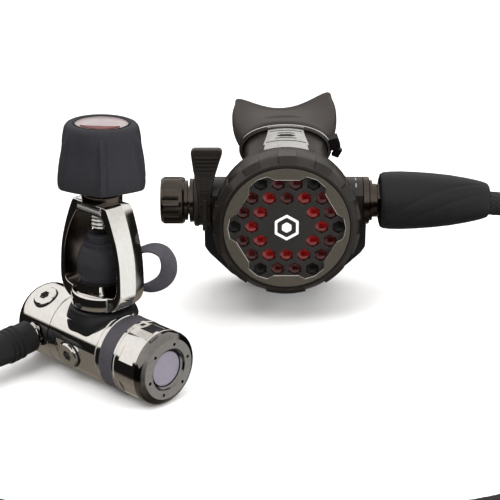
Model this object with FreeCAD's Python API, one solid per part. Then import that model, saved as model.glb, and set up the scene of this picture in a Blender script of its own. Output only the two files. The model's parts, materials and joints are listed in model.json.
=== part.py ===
"""Scuba regulator set: yoke first stage, low-pressure hose and demand second stage.

Millimetres, +Z up. Origin: bottom centre of the set without its hose, on the surface it stands on.
The first stage lies on its barrel with the yoke upright, and the second stage stands on its
exhaust tee with its purge cover facing -Y. Each stage is drawn in its own frame and then placed.
"""
import FreeCAD, Part
import math
import os

V = FreeCAD.Vector
X, Y, Z = V(1, 0, 0), V(0, 1, 0), V(0, 0, 1)
O = V(0, 0, 0)

# ---- driving dimensions -------------------------------------------------------------------
GAP = 0.05               # radial clearance of a running fit

BARREL_R = 19.8          # first stage body and turret
BODY_LEFT = -22.0        # joint between turret and body, along the barrel
TURRET_LEFT = -51.7      # domed end of the turret
PORT_X = -35.5           # plane of the low-pressure ports
HIGH_PORT_X = -5.5         # plane of the high-pressure ports
HIGH_ANGLE = -12           # high-pressure ports, degrees above horizontal
LOW_ANGLES = (61, 127, 193)
HOSE_ANGLE = -6.2          # hose port, degrees above horizontal, front side
BAND_LEFT, BAND_RIGHT = 18.5, 28.3
CAP_RIGHT = 50.5
FIRST_ROLL = -2.5        # lean of the yoke, about the barrel
FIRST_TURN = -43.0       # heading of the barrel, from +X
FIRST_AT = V(-54.5, -55.1, BARREL_R)

YOKE_T = 18.0            # yoke thickness, front to back
YOKE_TOP = 79.0
YOKE_HALF_W = 23.5
SCREW_R = 6.3
SCREW_TIP_Z = 62.0
KNOB_Z = 87.0
KNOB_H = 32.5

BEZEL_R = 41.8
CASE_R = 39.5
VALVE_Y, VALVE_Z = 21.0, 6.7      # axis of the valve tube behind and above the case centre
TUBE_R = 8.0
TEE_BOTTOM = -61.1
SECOND_AT = V(44.0, 9.9, -TEE_BOTTOM)
HOLE_PITCH = 9.8                  # hexagonal lattice of the purge cover
HOLE_AF = 6.8
COVER_R = 34.4
NECK_TILT = 18.0
NECK_AT = V(0, 16, 24)
NECK_A, NECK_B = 24.0, 14.5       # half axes of the neck
NECK_END = 38.0

HOSE_R = 6.7
FERRULE_R = 7.6
SLEEVE_R = 8.7
FLOOR = HOSE_R + 0.4              # height of the hose's axis where it lies


# ---- general shapes -----------------------------------------------------------------------
def rounded_wire(points, radii, closed=True):
    """Straight runs through the points, joined by tangent arcs of the given radii."""
    count = len(points)
    edges, ends = [], []
    for i, (corner, radius) in enumerate(zip(points, radii)):
        at_end = not closed and i in (0, count - 1)
        if at_end or radius <= 0:
            ends.append((corner, corner))
            edges.append(None)
            continue
        back = (points[i - 1] - corner).normalize()
        ahead = (points[(i + 1) % count] - corner).normalize()
        half_turn = (math.pi - back.getAngle(ahead)) / 2
        reach = radius * math.tan(half_turn)
        inward = (back + ahead).normalize()
        middle = corner + inward * (radius / math.cos(half_turn) - radius)
        start, end = corner + back * reach, corner + ahead * reach
        ends.append((start, end))
        edges.append(Part.Arc(start, middle, end).toShape())
    path = []
    for i in range(count):
        if edges[i]:
            path.append(edges[i])
        if closed or i < count - 1:
            leave, arrive = ends[i][1], ends[(i + 1) % count][0]
            if leave.distanceToPoint(arrive) > 1e-6:
                path.append(Part.LineSegment(leave, arrive).toShape())
    return Part.Wire(path)


def split_radius(points):
    """Separates (a, b) or (a, b, radius) corners into places and radii."""
    return [p[:2] for p in points], [p[2] if len(p) > 2 else 0 for p in points]


def turned(shape, axis, at=O):
    """Carries a shape drawn about Z to the given axis and place."""
    shape = shape.copy()
    shape.Placement = FreeCAD.Placement(at, FreeCAD.Rotation(Z, axis)) * shape.Placement
    return shape


def lathe(profile, axis=Z, at=O):
    """Solid of revolution; profile corners are (radius, along the axis, corner radius)."""
    places, radii = split_radius(profile)
    wire = rounded_wire([V(r, 0, a) for r, a in places], radii)
    solid = Part.Face(wire).revolve(O, Z, 360)
    return turned(solid, axis, at)


def rod(radius, start, end, axis=Z, at=O):
    return turned(Part.makeCylinder(radius, end - start, V(0, 0, start)), axis, at)


def ring(outer, inner, start, end, axis=Z, at=O):
    return rod(outer, start, end, axis, at).cut(rod(inner, start - 1, end + 1, axis, at))


def polygon_rod(sides, across_flats, start, end, axis=Z, at=O, phase=0.0):
    radius = across_flats / 2 / math.cos(math.pi / sides)
    corners = []
    for i in range(sides + 1):
        angle = math.radians(phase) + 2 * math.pi * i / sides
        corners.append(V(radius * math.cos(angle), radius * math.sin(angle), start))
    solid = Part.Face(Part.makePolygon(corners)).extrude(V(0, 0, end - start))
    return turned(solid, axis, at)


def prism_y(outline, near, far):
    """Outline corners (x, z, corner radius), drawn out along Y."""
    places, radii = split_radius(outline)
    wire = rounded_wire([V(x, near, z) for x, z in places], radii)
    return Part.Face(wire).extrude(V(0, far - near, 0))


def prism_x(outline, near, far):
    """Outline corners (y, z, corner radius), drawn out along X."""
    places, radii = split_radius(outline)
    wire = rounded_wire([V(near, y, z) for y, z in places], radii)
    return Part.Face(wire).extrude(V(far - near, 0, 0))


def drafted_y(near_outline, near, far_outline, far):
    """Solid between two outlines of the same number of corners."""
    wires = []
    for outline, y in ((near_outline, near), (far_outline, far)):
        places, radii = split_radius(outline)
        wires.append(rounded_wire([V(x, y, z) for x, z in places], radii))
    return Part.makeLoft(wires, True, True)


def mirrored(half):
    """Closed outline from its right half, listed from the top centre to the bottom centre."""
    left = [(-p[0],) + tuple(p[1:]) for p in reversed(half) if p[0] != 0]
    return list(half) + left


def box(x0, x1, y0, y1, z0, z1):
    return Part.makeBox(x1 - x0, y1 - y0, z1 - z0, V(x0, y0, z0))


def coil(mean_r, wire_r, start, end, turns, axis=Z, at=O):
    """Round-wire compression spring."""
    helix = Part.makeHelix((end - start) / turns, end - start, mean_r)
    section = Part.Wire(Part.Circle(V(mean_r, 0, 0), Y, wire_r).toShape())
    solid = Part.Wire(helix.Edges).makePipeShell([section], True, True)
    solid.translate(V(0, 0, start))
    return turned(solid, axis, at)


def union(shapes):
    result = shapes[0]
    return result.multiFuse(shapes[1:]).removeSplitter() if len(shapes) > 1 else result


def radial(angle):
    """Direction out of the barrel, from the front side (-Y) upwards."""
    a = math.radians(angle)
    return V(0, -math.cos(a), math.sin(a))


NODES = {}


def keep(name, shape, place):
    shape = shape.copy()
    shape.Placement = place * shape.Placement
    NODES[name] = shape


FIRST_PLACE = FreeCAD.Placement(FIRST_AT, FreeCAD.Rotation(Z, FIRST_TURN) * FreeCAD.Rotation(X, FIRST_ROLL))
SECOND_PLACE = FreeCAD.Placement(SECOND_AT, FreeCAD.Rotation())
HERE = FreeCAD.Placement()


# ---- first stage: barrel ------------------------------------------------------------------
PLUG_SEAT = 18.3          # distance of a low-pressure plug's face from the barrel axis
HIGH_SEAT = 18.0
FLAT_AT = 18.6            # milled flats beside the high-pressure ports
HIGH_BORE_R, HIGH_CHAMBER_R = 5.4, 5.5
LOW_BORE_R = 4.75
NECK_R, NECK_TOP = 10.5, 31.0
SKIRT_R = 17.2
SEAT_X = 20.0             # shoulder that the main diaphragm lies on


def body():
    outer = lathe([(0, BODY_LEFT), (19.4, BODY_LEFT), (BARREL_R, -21.6), (BARREL_R, 15.4),
                   (19.2, 15.8), (19.2, 16.4), (BARREL_R, 16.8), (BARREL_R, 18.1),
                   (19.4, BAND_LEFT), (SKIRT_R, BAND_LEFT), (SKIRT_R, 34), (0, 34)], X)
    spigot = ring(14.0, 11.5, -26, BODY_LEFT, X).cut(ring(15, 12.9, -24.9, -23.4, X))
    solid = union([outer, spigot, rod(NECK_R, 0, NECK_TOP)])
    for side in (HIGH_ANGLE, 180 - HIGH_ANGLE):
        out = radial(side)
        flat = Part.makeBox(30.6, 30, 10, V(-15, -15, FLAT_AT))
        flat.Placement = FreeCAD.Placement(O, FreeCAD.Rotation(X, V(0, 0, 0), out, "XZY"))
        port = V(HIGH_PORT_X, 0, 0)
        solid = solid.cut(flat)
        solid = solid.cut(union([rod(7.8, HIGH_SEAT, 25, out, port), rod(HIGH_BORE_R, 0, 20, out, port)]))
    cuts = [rod(HIGH_CHAMBER_R, -12, 3, X), rod(1.6, 2, 9, X), rod(13.5, 8, SEAT_X + 1, X),
            rod(15.6, SEAT_X, 35, X), rod(3.2, 0, 24, Z, V(-2, 0, 0)), rod(8.0, 21, 32),
            rod(4.5, -23, -14, X)]
    cuts += [rod(1.6, -23, 9, X, V(0, y, 9.2)) for y in (-8.2, 8.2)]
    return solid.cut(union(cuts))


def turret():
    outer = lathe([(0, TURRET_LEFT), (BARREL_R, TURRET_LEFT, 8.5), (BARREL_R, -22.6),
                   (19.5, -22.3), (0, -22.3)], X)
    cuts = [rod(12.5, -42, -22, X), rod(14 + GAP, -26.2, -22, X),
            rod(4.5 + GAP, -47, -40, X), rod(6.6, TURRET_LEFT - 1, -46, X)]
    for angle in LOW_ANGLES + (HOSE_ANGLE,):
        out, port = radial(angle), V(PORT_X, 0, 0)
        cuts += [rod(7.2, PLUG_SEAT, 25, out, port), rod(LOW_BORE_R, 11, 20, out, port)]
    return outer.cut(union(cuts))


def turret_bolt():
    solid = union([rod(6.3, -49.0, -46 - GAP, X), rod(4.5, -47, -14, X)])
    return solid.cut(polygon_rod(6, 6, -49.5, -46.8, X))


def plug(seat, head_r, thread_r, length, socket, along, angle):
    """Port plug with a socket head, and the O-ring under its head."""
    out, port = radial(angle), V(along, 0, 0)
    head = lathe([(0, seat + 1.0), (head_r - 1.2, seat + 1.0), (head_r - 1.2, seat), (head_r, seat),
                  (head_r, seat + 2.3), (head_r - 0.5, seat + 2.8), (0, seat + 2.8)], Z)
    solid = union([turned(head, out, port), rod(thread_r, seat - length, seat + 1.5, out, port)])
    solid = solid.cut(polygon_rod(6, socket, seat + 0.6, seat + 4, out, port))
    seal = ring(head_r - 1.25, thread_r + 0.02, seat, seat + 0.98, out, port)
    return solid, seal


def barrel_nodes():
    keep("first_stage_body", body(), FIRST_PLACE)
    keep("swivel_turret", turret(), FIRST_PLACE)
    keep("turret_bolt", turret_bolt(), FIRST_PLACE)
    low = [plug(PLUG_SEAT, 6.4, LOW_BORE_R - 0.02, 5.5, 5, PORT_X, a) for a in LOW_ANGLES]
    high = [plug(HIGH_SEAT, 6.9, HIGH_BORE_R - 0.02, 7.5, 5.5, HIGH_PORT_X, a)
          for a in (HIGH_ANGLE, 180 - HIGH_ANGLE)]
    keep("low_port_plugs", Part.makeCompound([p[0] for p in low]), FIRST_PLACE)
    keep("low_plug_seals", Part.makeCompound([p[1] for p in low]), FIRST_PLACE)
    keep("high_port_plugs", Part.makeCompound([p[0] for p in high]), FIRST_PLACE)
    seals = [p[1] for p in high] + [ring(14.0, 12.9, -24.8, -23.5, X), ring(7.5, 6.1, 36.65, 37.55)]
    keep("body_seals", Part.makeCompound(seals), FIRST_PLACE)
    keep("cover_band", lathe([(SKIRT_R, BAND_LEFT + 0.05), (19.7, BAND_LEFT + 0.05, 0.6),
                              (19.7, BAND_RIGHT - 0.05, 0.6), (SKIRT_R, BAND_RIGHT - 0.05)], X),
         FIRST_PLACE)


# ---- first stage: spring cap and valve ----------------------------------------------------
RING_LEFT = 44.6
DISC_R = 9.6


def spring_cap():
    outer = lathe([(SKIRT_R, BAND_RIGHT), (19.3, BAND_RIGHT), (19.7, 28.6), (19.7, 29.6),
                   (19.2, 29.9), (19.2, 30.3), (19.5, 30.6), (19.5, RING_LEFT - 0.4),
                   (19.1, RING_LEFT), (12.4, RING_LEFT), (12.4, 22.7), (15.5, 22.7), (15.5, 35),
                   (SKIRT_R, 35)], X)
    flats = [box(33, 43, -4.5, 4.5, 18.9, 21)]
    for i in range(1, 6):
        flat = flats[0].copy()
        flat.rotate(O, X, 60 * i)
        flats.append(flat)
    return outer.cut(union(flats))


def end_ring():
    outer = lathe([(DISC_R, RING_LEFT), (19.2, RING_LEFT), (19.5, RING_LEFT + 0.4),
                   (19.5, CAP_RIGHT - 2.2, 2.6), (16.2, CAP_RIGHT, 1.6), (11.2, CAP_RIGHT, 0.6),
                   (10.6, CAP_RIGHT - 1.2, 0.3), (DISC_R, CAP_RIGHT - 1.6)], X)
    pins = []
    for i in range(6):
        a = math.radians(60 * i + 15)
        pins.append(rod(0.9, CAP_RIGHT - 2.5, CAP_RIGHT + 1, X, V(0, 13.6 * math.cos(a), 13.6 * math.sin(a))))
    groove = ring(DISC_R + 1.0, DISC_R - 1, 46.3, 47.6, X)
    return outer.cut(union(pins + [groove]))


def cap_nodes():
    keep("spring_cap", spring_cap(), FIRST_PLACE)
    keep("end_ring", end_ring(), FIRST_PLACE)
    keep("outer_diaphragm", lathe([(0, 46.4), (DISC_R + 1.0, 46.4), (DISC_R + 1.0, 47.5),
                                   (DISC_R, 47.5), (DISC_R - 0.3, 48.3, 0.5), (0, 48.3)], X), FIRST_PLACE)
    keep("main_diaphragm", rod(15.6, SEAT_X, 21.4, X), FIRST_PLACE)
    keep("clamp_washer", ring(15.6, 11.0, 21.4, 22.7, X), FIRST_PLACE)
    adjuster = rod(12.4, 39, 42.5, X).cut(polygon_rod(6, 8, 38, 43, X))
    keep("spring_adjuster", adjuster, FIRST_PLACE)
    keep("spring_pad", union([rod(10.6, 21.6, 23.2, X), rod(5.5, 23.2, 26, X)]), FIRST_PLACE)
    keep("main_spring", coil(8.6, 1.5, 24.8, 37.4, 4, X), FIRST_PLACE)
    keep("valve_lifter", union([rod(8.5, 18.0, 19.7, X), rod(1.3, 3.6, 18, X)]), FIRST_PLACE)
    poppet = lathe([(0, -5), (2.2, -5), (2.2, -1), (4.4, -1), (4.4, 1.6), (3.2, 2.8), (0, 2.8)], X)
    keep("valve_poppet", poppet, FIRST_PLACE)
    keep("poppet_return_spring", coil(3.3, 0.45, -10.6, -1.7, 5, X), FIRST_PLACE)


# ---- first stage: yoke --------------------------------------------------------------------
def yoke_outline(inset):
    """Front view of the frame; the inset draws its sides in."""
    w = YOKE_HALF_W - inset
    return mirrored([(0, YOKE_TOP), (13.0 - inset, YOKE_TOP, 1.5), (w - 3.0, 60, 40), (w, 45, 40),
                     (w, 31, 6), (17 - inset, 23, 4), (0, 23)])


def yoke_frame():
    """Arched frame; its front edge is chamfered and the rear of its sides draws in."""
    window = mirrored([(0, 72.5), (10.4, 72.5, 2.5), (17.4, 58, 40), (20.4, 44, 30), (20, 35, 4),
                       (15, 30.6, 3), (0, 30.6)])
    half = YOKE_T / 2
    solid = union([drafted_y(yoke_outline(1.0), -half, yoke_outline(0), 1.2 - half),
                   prism_y(yoke_outline(0), 1.2 - half, 1.5),
                   drafted_y(yoke_outline(0), 1.5, yoke_outline(1.8), half)])
    solid = solid.cut(prism_y(window, -half - 1, half + 1))
    base = lathe([(0, 22), (15.2, 22), (16.5, 23.5), (16.5, 29.6), (15.6, 30.6), (0, 30.6)])
    collar = lathe([(0, YOKE_TOP - 2), (10.5, YOKE_TOP - 2), (10.5, YOKE_TOP + 3.4), (8.6, YOKE_TOP + 5),
                    (8.6, YOKE_TOP + 6.9), (0, YOKE_TOP + 6.9)])
    bar = box(-8.5, 8.5, -half - 0.6, -half + 2, 74.2, 77.4)
    solid = union([solid, base, collar, bar])
    return solid.cut(union([rod(SCREW_R + GAP, 65, 90), rod(NECK_R, 20, 32)]))


def yoke_retainer():
    nut = polygon_rod(6, 25.5, NECK_TOP, 36, phase=12)
    crown = lathe([(0, 29), (16.5, 29), (16.5, 35), (14.2, 36.6), (0, 36.6)])
    solid = union([nut.common(crown), rod(9.2, 35, 37.6), rod(8.0, 22, NECK_TOP)])
    solid = solid.cut(ring(7.6, 6.0, 36.6, 38))
    return solid.cut(union([rod(5.2, 27, 39), rod(3.6, 21, 28)]))


def dust_cap():
    outer = lathe([(0, 36.1), (10.8, 36.1), (12.8, 39.5, 3), (13.6, 46, 8), (11.2, 53.2, 4), (9.8, 54.4, 0.6),
                   (9.8, 57, 0.6), (7.8, 57.4, 0.4), (7.6, 61.2, 0.8), (0, 61.2)])
    return outer.cut(union([rod(9.25, 36, 37.7), rod(4.9, 37, 41)]))


def dust_cap_strap():
    """Flat rubber strap: a loop standing behind the yoke, from the cap to the boot."""
    def band(grow):
        ellipse = Part.Ellipse(O, 12.2 - 0.9 + grow, 10.6 - 0.9 + grow)
        return Part.Face(Part.Wire(ellipse.toShape())).extrude(V(0, 0, 8))

    strap = band(0.9).cut(band(-0.9))
    strap.Placement = FreeCAD.Placement(V(27.4, -4, 41.2), FreeCAD.Rotation(Z, X, Y, "ZXY"))
    strap.rotate(O, Z, -FIRST_TURN)
    return strap


def yoke_boot():
    sleeve = lathe([(0, 8), (17.2, 8), (17.2, 19.5, 1.2), (16.2, 21.4), (0, 21.4)])
    tab = prism_y([(-4, 9), (8, 9, 3), (8, 16), (-13, 16), (-13, 13, 3)], -18.6, 0)
    tab = tab.common(rod(18.6, 5, 22))
    slot = prism_y([(-6.5, 12.6, 1.2), (1.5, 12.6, 1.2), (1.5, 15.2, 1.2), (-6.5, 15.2, 1.2)], -20, -15.5)
    keep_out = union([rod(BARREL_R, -30, 30, X), rod(NECK_R, 0, 32), box(-30, 30, -30, 30, -30, 8.5),
                      box(15.4, 30, -30, 30, 0, 30)])
    return union([sleeve, tab]).cut(keep_out).cut(slot)


def knob_plan(radius, z):
    """Six bowed sides between six ribs."""
    corners = []
    for i in range(6):
        for step, scale in ((0, 1.0), (0.5, 0.955)):
            a = math.radians(60 * (i + step) + 18)
            corners.append(V(radius * scale * math.cos(a), radius * scale * math.sin(a), z))
    return rounded_wire(corners, [radius * 0.16, radius * 1.6] * 6)


def yoke_knob():
    top = KNOB_Z + KNOB_H
    shell = Part.makeLoft([knob_plan(22.8, KNOB_Z), knob_plan(23.6, KNOB_Z + 7),
                           knob_plan(19.6, top - 4)], True)
    crown = lathe([(0, top - 6), (17.6, top - 6), (19.0, top - 3.5, 2.5), (15.2, top, 2), (0, top)])
    solid = union([shell, crown])
    hollow = [rod(SCREW_R, KNOB_Z - 1, KNOB_Z + 24), polygon_rod(6, 20, KNOB_Z + 6, KNOB_Z + 18),
              rod(13.0, KNOB_Z - 1, KNOB_Z + 4), rod(12.6, top - 2.2, top + 1)]
    return solid.cut(union(hollow))


def knob_badge():
    top = KNOB_Z + KNOB_H
    dome = Part.makeSphere(42, V(0, 0, top + 0.9 - 42)).common(rod(12.5, top - 2.2, top + 3))
    return dome


def yoke_nodes():
    keep("yoke_frame", yoke_frame(), FIRST_PLACE)
    keep("yoke_retainer", yoke_retainer(), FIRST_PLACE)
    inlet_filter = lathe([(0, 28.1), (4.9, 28.1), (4.9, 29.5), (2.6, 34.5), (0, 34.5)])
    keep("inlet_filter", inlet_filter, FIRST_PLACE)
    keep("filter_clip", ring(5.2, 4.2, 34.6, 35.4), FIRST_PLACE)
    keep("yoke_boot", yoke_boot(), FIRST_PLACE)
    keep("dust_cap", dust_cap(), FIRST_PLACE)
    keep("dust_cap_strap", dust_cap_strap(), FIRST_PLACE)
    tip = union([rod(4.6, SCREW_TIP_Z, SCREW_TIP_Z + 2.6), rod(2.4, SCREW_TIP_Z + 2, 67)])
    keep("yoke_screw_tip", tip, FIRST_PLACE)
    screw = rod(SCREW_R, SCREW_TIP_Z + 2.7, KNOB_Z + 24).cut(rod(2.4 + GAP, 60, 67.1))
    keep("yoke_screw", screw, FIRST_PLACE)
    hub = ring(11.4, SCREW_R, KNOB_Z + 4.5, KNOB_Z + 6).fuse(
        polygon_rod(6, 20, KNOB_Z + 6, KNOB_Z + 18).cut(rod(SCREW_R, KNOB_Z, KNOB_Z + 19)))
    keep("knob_hub", hub.removeSplitter(), FIRST_PLACE)
    keep("yoke_knob", yoke_knob().cut(rod(11.45, KNOB_Z + 3, KNOB_Z + 6)), FIRST_PLACE)
    keep("knob_badge", knob_badge(), FIRST_PLACE)


# ---- second stage: case and front ---------------------------------------------------------
AXIS_AT = V(0, VALVE_Y, VALVE_Z)
NECK_U = V(0, math.cos(math.radians(NECK_TILT)), math.sin(math.radians(NECK_TILT)))
BOSS_R = 13.6
BOSS_LEFT, BOSS_RIGHT = -42.1, 43.6


def neck_section(a, b, along):
    """Upright ellipse across the neck's axis."""
    ellipse = Part.Wire(Part.Ellipse(O, a, b).toShape())
    across = FreeCAD.Rotation(V(1, 0, 0), V(0, -NECK_U.z, NECK_U.y), NECK_U, "ZXY")
    ellipse.Placement = FreeCAD.Placement(NECK_AT + NECK_U * along, across)
    return ellipse


def neck_rod(a, b, start, end):
    return Part.Face(neck_section(a, b, start)).extrude(NECK_U * (end - start))


def case_shell():
    outer = lathe([(0, 3), (CASE_R, 3), (CASE_R, 9.6), (40.2, 10), (40.2, 20, 4), (37, 30, 6), (28, 38, 6), (0, 38)], Y)
    boss = rod(BOSS_R, BOSS_LEFT, BOSS_RIGHT, X, AXIS_AT)
    solid = union([outer, boss, neck_rod(NECK_A, NECK_B, 2, NECK_END)])
    cavity = union([lathe([(0, 2), (37.2, 2), (37.2, 19, 2), (34.4, 28, 4), (26.6, 35.4, 4), (0, 35.4)], Y),
                    neck_rod(NECK_A - 2.5, NECK_B - 2.5, 4, NECK_END + 1)])
    shelf = ring(37.2, 34.6, 7.2, 9, Y)
    vent = rod(8.6, 30, 40, Y, V(0, 0, -17))
    spokes = union([box(-8.7, 8.7, 36, 38, -17.9, -16.1), box(-0.9, 0.9, 36, 38, -25.7, -8.3)])
    solid = union([solid.cut(cavity), shelf]).cut(vent.cut(spokes))
    return solid.cut(union([rod(TUBE_R, -60, 60, X, AXIS_AT), ring(50, CASE_R, 0, 9.2, Y)]))


def front_bezel():
    solid = lathe([(35.2, -3.2), (35.5, -3.2), (35.5, -6.6), (37.4, -6.6, 0.6), (40.4, -3.4, 2), (BEZEL_R, 1.2, 2),
                   (BEZEL_R, 9.0, 0.6), (CASE_R, 9.0), (CASE_R, 3), (35.2, 3)], Y)
    notch = box(-5.2, 5.2, -8, 0.6, 39.6, 44)
    cuts = []
    for angle in (-45, -15, 15, 45, 90, 135, 165, 195, 225, 270):
        cut = notch.copy()
        cut.rotate(O, Y, angle)
        cuts.append(cut)
    return solid.cut(union(cuts))


def trim_ring():
    corners, radii = [], []
    for i in range(6):
        for offset, radius, corner in ((-15.5, 28.9, 1.2), (-11.5, 32.4, 2), (0, 33.2, 6), (11.5, 32.4, 2),
                                       (15.5, 28.9, 1.2)):
            a = math.radians(60 * i + offset)
            corners.append(V(radius * math.cos(a), -8, radius * math.sin(a)))
            radii.append(corner)
    opening = Part.Face(rounded_wire(corners, radii)).extrude(V(0, 6, 0))
    plate = lathe([(27, -5.4), (35.4, -5.4), (35.4, -6.9), (35.0, -7.3), (27, -7.3)], Y)
    return plate.cut(opening)


def lattice(first, last):
    """Centres of the hexagonal lattice whose ring number lies between first and last."""
    for q in range(-last, last + 1):
        for r in range(-last, last + 1):
            step = max(abs(q), abs(r), abs(q + r))
            if first <= step <= last:
                yield HOLE_PITCH * (q + r / 2), HOLE_PITCH * r * math.sqrt(3) / 2


def purge_cover():
    plate = lathe([(0, -5.2), (30, -5.2), (COVER_R, -4.6), (COVER_R, -2.6), (30, -2), (0, -2)], Y)
    holes = [polygon_rod(6, HOLE_AF, -7, 0, Y, V(x, 0, z), phase=30) for x, z in lattice(2, 3)]
    return plate.cut(Part.makeCompound(holes))


def purge_emblem():
    """Plain raised hexagon outline round a small hexagon."""
    frame = polygon_rod(6, 14.6, -5.9, -5.2, Y, O, phase=30).cut(polygon_rod(6, 11.4, -7, -4, Y, O, phase=30))
    return Part.makeCompound([frame, polygon_rod(6, 5, -5.9, -5.2, Y, O, phase=30)])


def red_plate():
    plate = lathe([(0, -0.8), (33.6, -0.8), (33.6, 0.2), (0, 0.2)], Y)
    posts = []
    for i in range(6):
        a = math.radians(60 * i)
        posts.append(rod(2.0, -2, -0.8, Y, V(HOLE_PITCH * math.cos(a), 0, HOLE_PITCH * math.sin(a))))
    return union([plate, rod(7, 0.2, 3.4, Y)] + posts)


def front_nodes():
    keep("case_shell", case_shell(), SECOND_PLACE)
    keep("front_bezel", front_bezel(), SECOND_PLACE)
    keep("trim_ring", trim_ring(), SECOND_PLACE)
    keep("purge_cover", purge_cover(), SECOND_PLACE)
    keep("purge_emblem", purge_emblem(), SECOND_PLACE)
    keep("red_plate", red_plate(), SECOND_PLACE)
    keep("purge_spring", lathe([(14.4, 0.25), (15.2, 0.25), (18.4, 6.15), (17.6, 6.15)], Y), SECOND_PLACE)
    keep("diaphragm_clamp", ring(37.2, 34.6, 3.0, 6.2, Y), SECOND_PLACE)
    keep("diaphragm", ring(37.1, 12.0, 6.2, 7.2, Y), SECOND_PLACE)
    keep("diaphragm_disc", rod(11.9, 5.0, 6.9, Y), SECOND_PLACE)


# ---- second stage: demand valve -----------------------------------------------------------
LEVER_X, LEVER_Y = 12.0, 14.4


def valve_tube():
    tube = ring(TUBE_R, 6.2, -56, 43.6, X, AXIS_AT)
    flange = ring(12.5, TUBE_R, -55, -53, X, AXIS_AT)
    slot = box(9.5, 14.5, 10, VALVE_Y, VALVE_Z - 4.2, VALVE_Z + 4.2)
    vent = box(-22, -14, 24, 32, VALVE_Z - 3, VALVE_Z + 3)
    return tube.fuse(flange).removeSplitter().cut(union([slot, vent]))


def demand_lever():
    """Bent strip: a long arm under the diaphragm and a short leg into the valve tube."""
    outline = [V(-10, 7.3, 0), V(LEVER_X + 0.8, 10.3, 0), V(LEVER_X + 0.8, LEVER_Y, 0),
               V(LEVER_X - 0.8, LEVER_Y, 0), V(LEVER_X - 0.8, 11.3, 0), V(-10, 8.3, 0), V(-10, 7.3, 0)]
    strip = Part.Face(Part.makePolygon(outline)).extrude(V(0, 0, 6))
    strip.translate(V(0, 0, VALVE_Z - 3))
    return strip


def adjust_knob():
    profile = [(0, -71.5), (12.2, -71.5, 0.6), (13.5, -69.6, 0.6), (13.5, -59.2, 0.5), (12.6, -57.9),
               (11.4, -57.9), (11.4, -56.2), (0, -56.2)]
    grip = lathe(profile, X, AXIS_AT)
    flute = rod(5.5, -73, -61, X, AXIS_AT + V(0, 0, 18.1))
    cuts = []
    for i in range(10):
        cut = flute.copy()
        cut.rotate(AXIS_AT, X, 36 * i)
        cuts.append(cut)
    dish = lathe([(0, -72), (8.4, -72), (7.6, -70.7), (0, -70.7)], X, AXIS_AT)
    return union([grip.cut(union(cuts + [dish])), rod(6.1, -56.2, -27, X, AXIS_AT)])


def venturi_lever():
    """Ring round the valve tube with a ribbed thumb paddle standing up from its front."""
    hoop = lathe([(8.1, -52.5), (14.2, -52.5), (15, -51.7), (15, -43.2), (14.2, -42.4), (8.1, -42.4)], X, AXIS_AT)
    blade = prism_y([(-54, 40.4, 1.5), (-35.6, 40.4, 1.5), (-38.6, 27, 8), (-41.8, 20, 4), (-42.5, 14),
                     (-42.5, 7, 3), (-49.4, 7, 3), (-49.4, 20, 6), (-51.8, 27, 8)], 0, 30)
    side = [(5.4, 6.5, 1), (5.0, 14, 8), (9.6, 28, 10), (10.2, 41, 1.5), (15.6, 41, 1.5), (15.4, 30, 8),
            (10.5, 20, 3), (9, 6.5)]
    paddle = blade.common(prism_x(side, -60, -30))
    return union([hoop, paddle]).cut(rod(TUBE_R + 0.1, -60, -40, X, AXIS_AT))


def valve_nodes():
    keep("valve_tube", valve_tube(), SECOND_PLACE)
    orifice = lathe([(1.8, 24.4), (2.8, 24.4), (6.2, 27), (6.2, 40), (1.8, 40)], X, AXIS_AT)
    keep("inlet_orifice", orifice, SECOND_PLACE)
    fitting = lathe([(3.4, 43.6), (BOSS_R - 0.5, 43.6), (BOSS_R, 44.1), (BOSS_R, 47.2), (BOSS_R - 0.5, 47.7),
                     (11.6, 47.7), (11.6, 49.3), (9.6, 49.5), (9.6, 51.8), (7.2, 51.8), (7.2, 58), (3.4, 58)],
                    X, AXIS_AT)
    keep("inlet_fitting", fitting, SECOND_PLACE)
    poppet = lathe([(0, 24.1), (5.7, 24.1), (5.7, 16), (2.4, 15), (2.4, -8), (0, -8)], X, AXIS_AT)
    keep("demand_poppet", poppet, SECOND_PLACE)
    keep("demand_spring", coil(4.3, 0.6, -26, 14.4, 7, X, AXIS_AT), SECOND_PLACE)
    keep("demand_lever", demand_lever(), SECOND_PLACE)
    keep("adjust_knob", adjust_knob(), SECOND_PLACE)
    keep("venturi_lever", venturi_lever(), SECOND_PLACE)


# ---- second stage: mouthpiece and exhaust -------------------------------------------------
def mouthpiece():
    outer = Part.makeLoft([neck_section(a, b, at) for a, b, at in
                           ((26, 16.4, 24), (26, 16.4, 31), (28, 16.6, 37), (30.4, 16.6, 45),
                            (30.6, 17, 54), (28.6, 17.6, 63))], True, True)
    inner = union([neck_rod(NECK_A, NECK_B, 20, NECK_END), neck_rod(17, 8.5, NECK_END - 1, 70)])
    tabs = []
    for side in (-1, 1):
        tab = box(-3, 3, 0, 18, -6.5, 6.5)
        tab.Placement = FreeCAD.Placement(NECK_AT + NECK_U * 60 + V(side * 22.5, 0, 0),
                                          FreeCAD.Rotation(X, NECK_TILT))
        tabs.append(tab)
    return union([outer.cut(inner)] + tabs)


def neck_band(a, b, thick, start, end):
    """Band of even thickness round the neck's section."""
    return neck_rod(a + thick, b + thick, start, end).cut(neck_rod(a, b, start - 1, end + 1))


def mouthpiece_tie():
    band = neck_band(26.02, 16.42, 0.9, 25, 28)
    head = Part.makeBox(7, 5, 9, V(-3.5, -2.5, -4.5))
    head.Placement = FreeCAD.Placement(NECK_AT + NECK_U * 26.5 + V(28.6, 0, 3), FreeCAD.Rotation(X, NECK_TILT))
    return union([band, head]).cut(neck_rod(26.02, 16.42, 20, 32))


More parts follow.
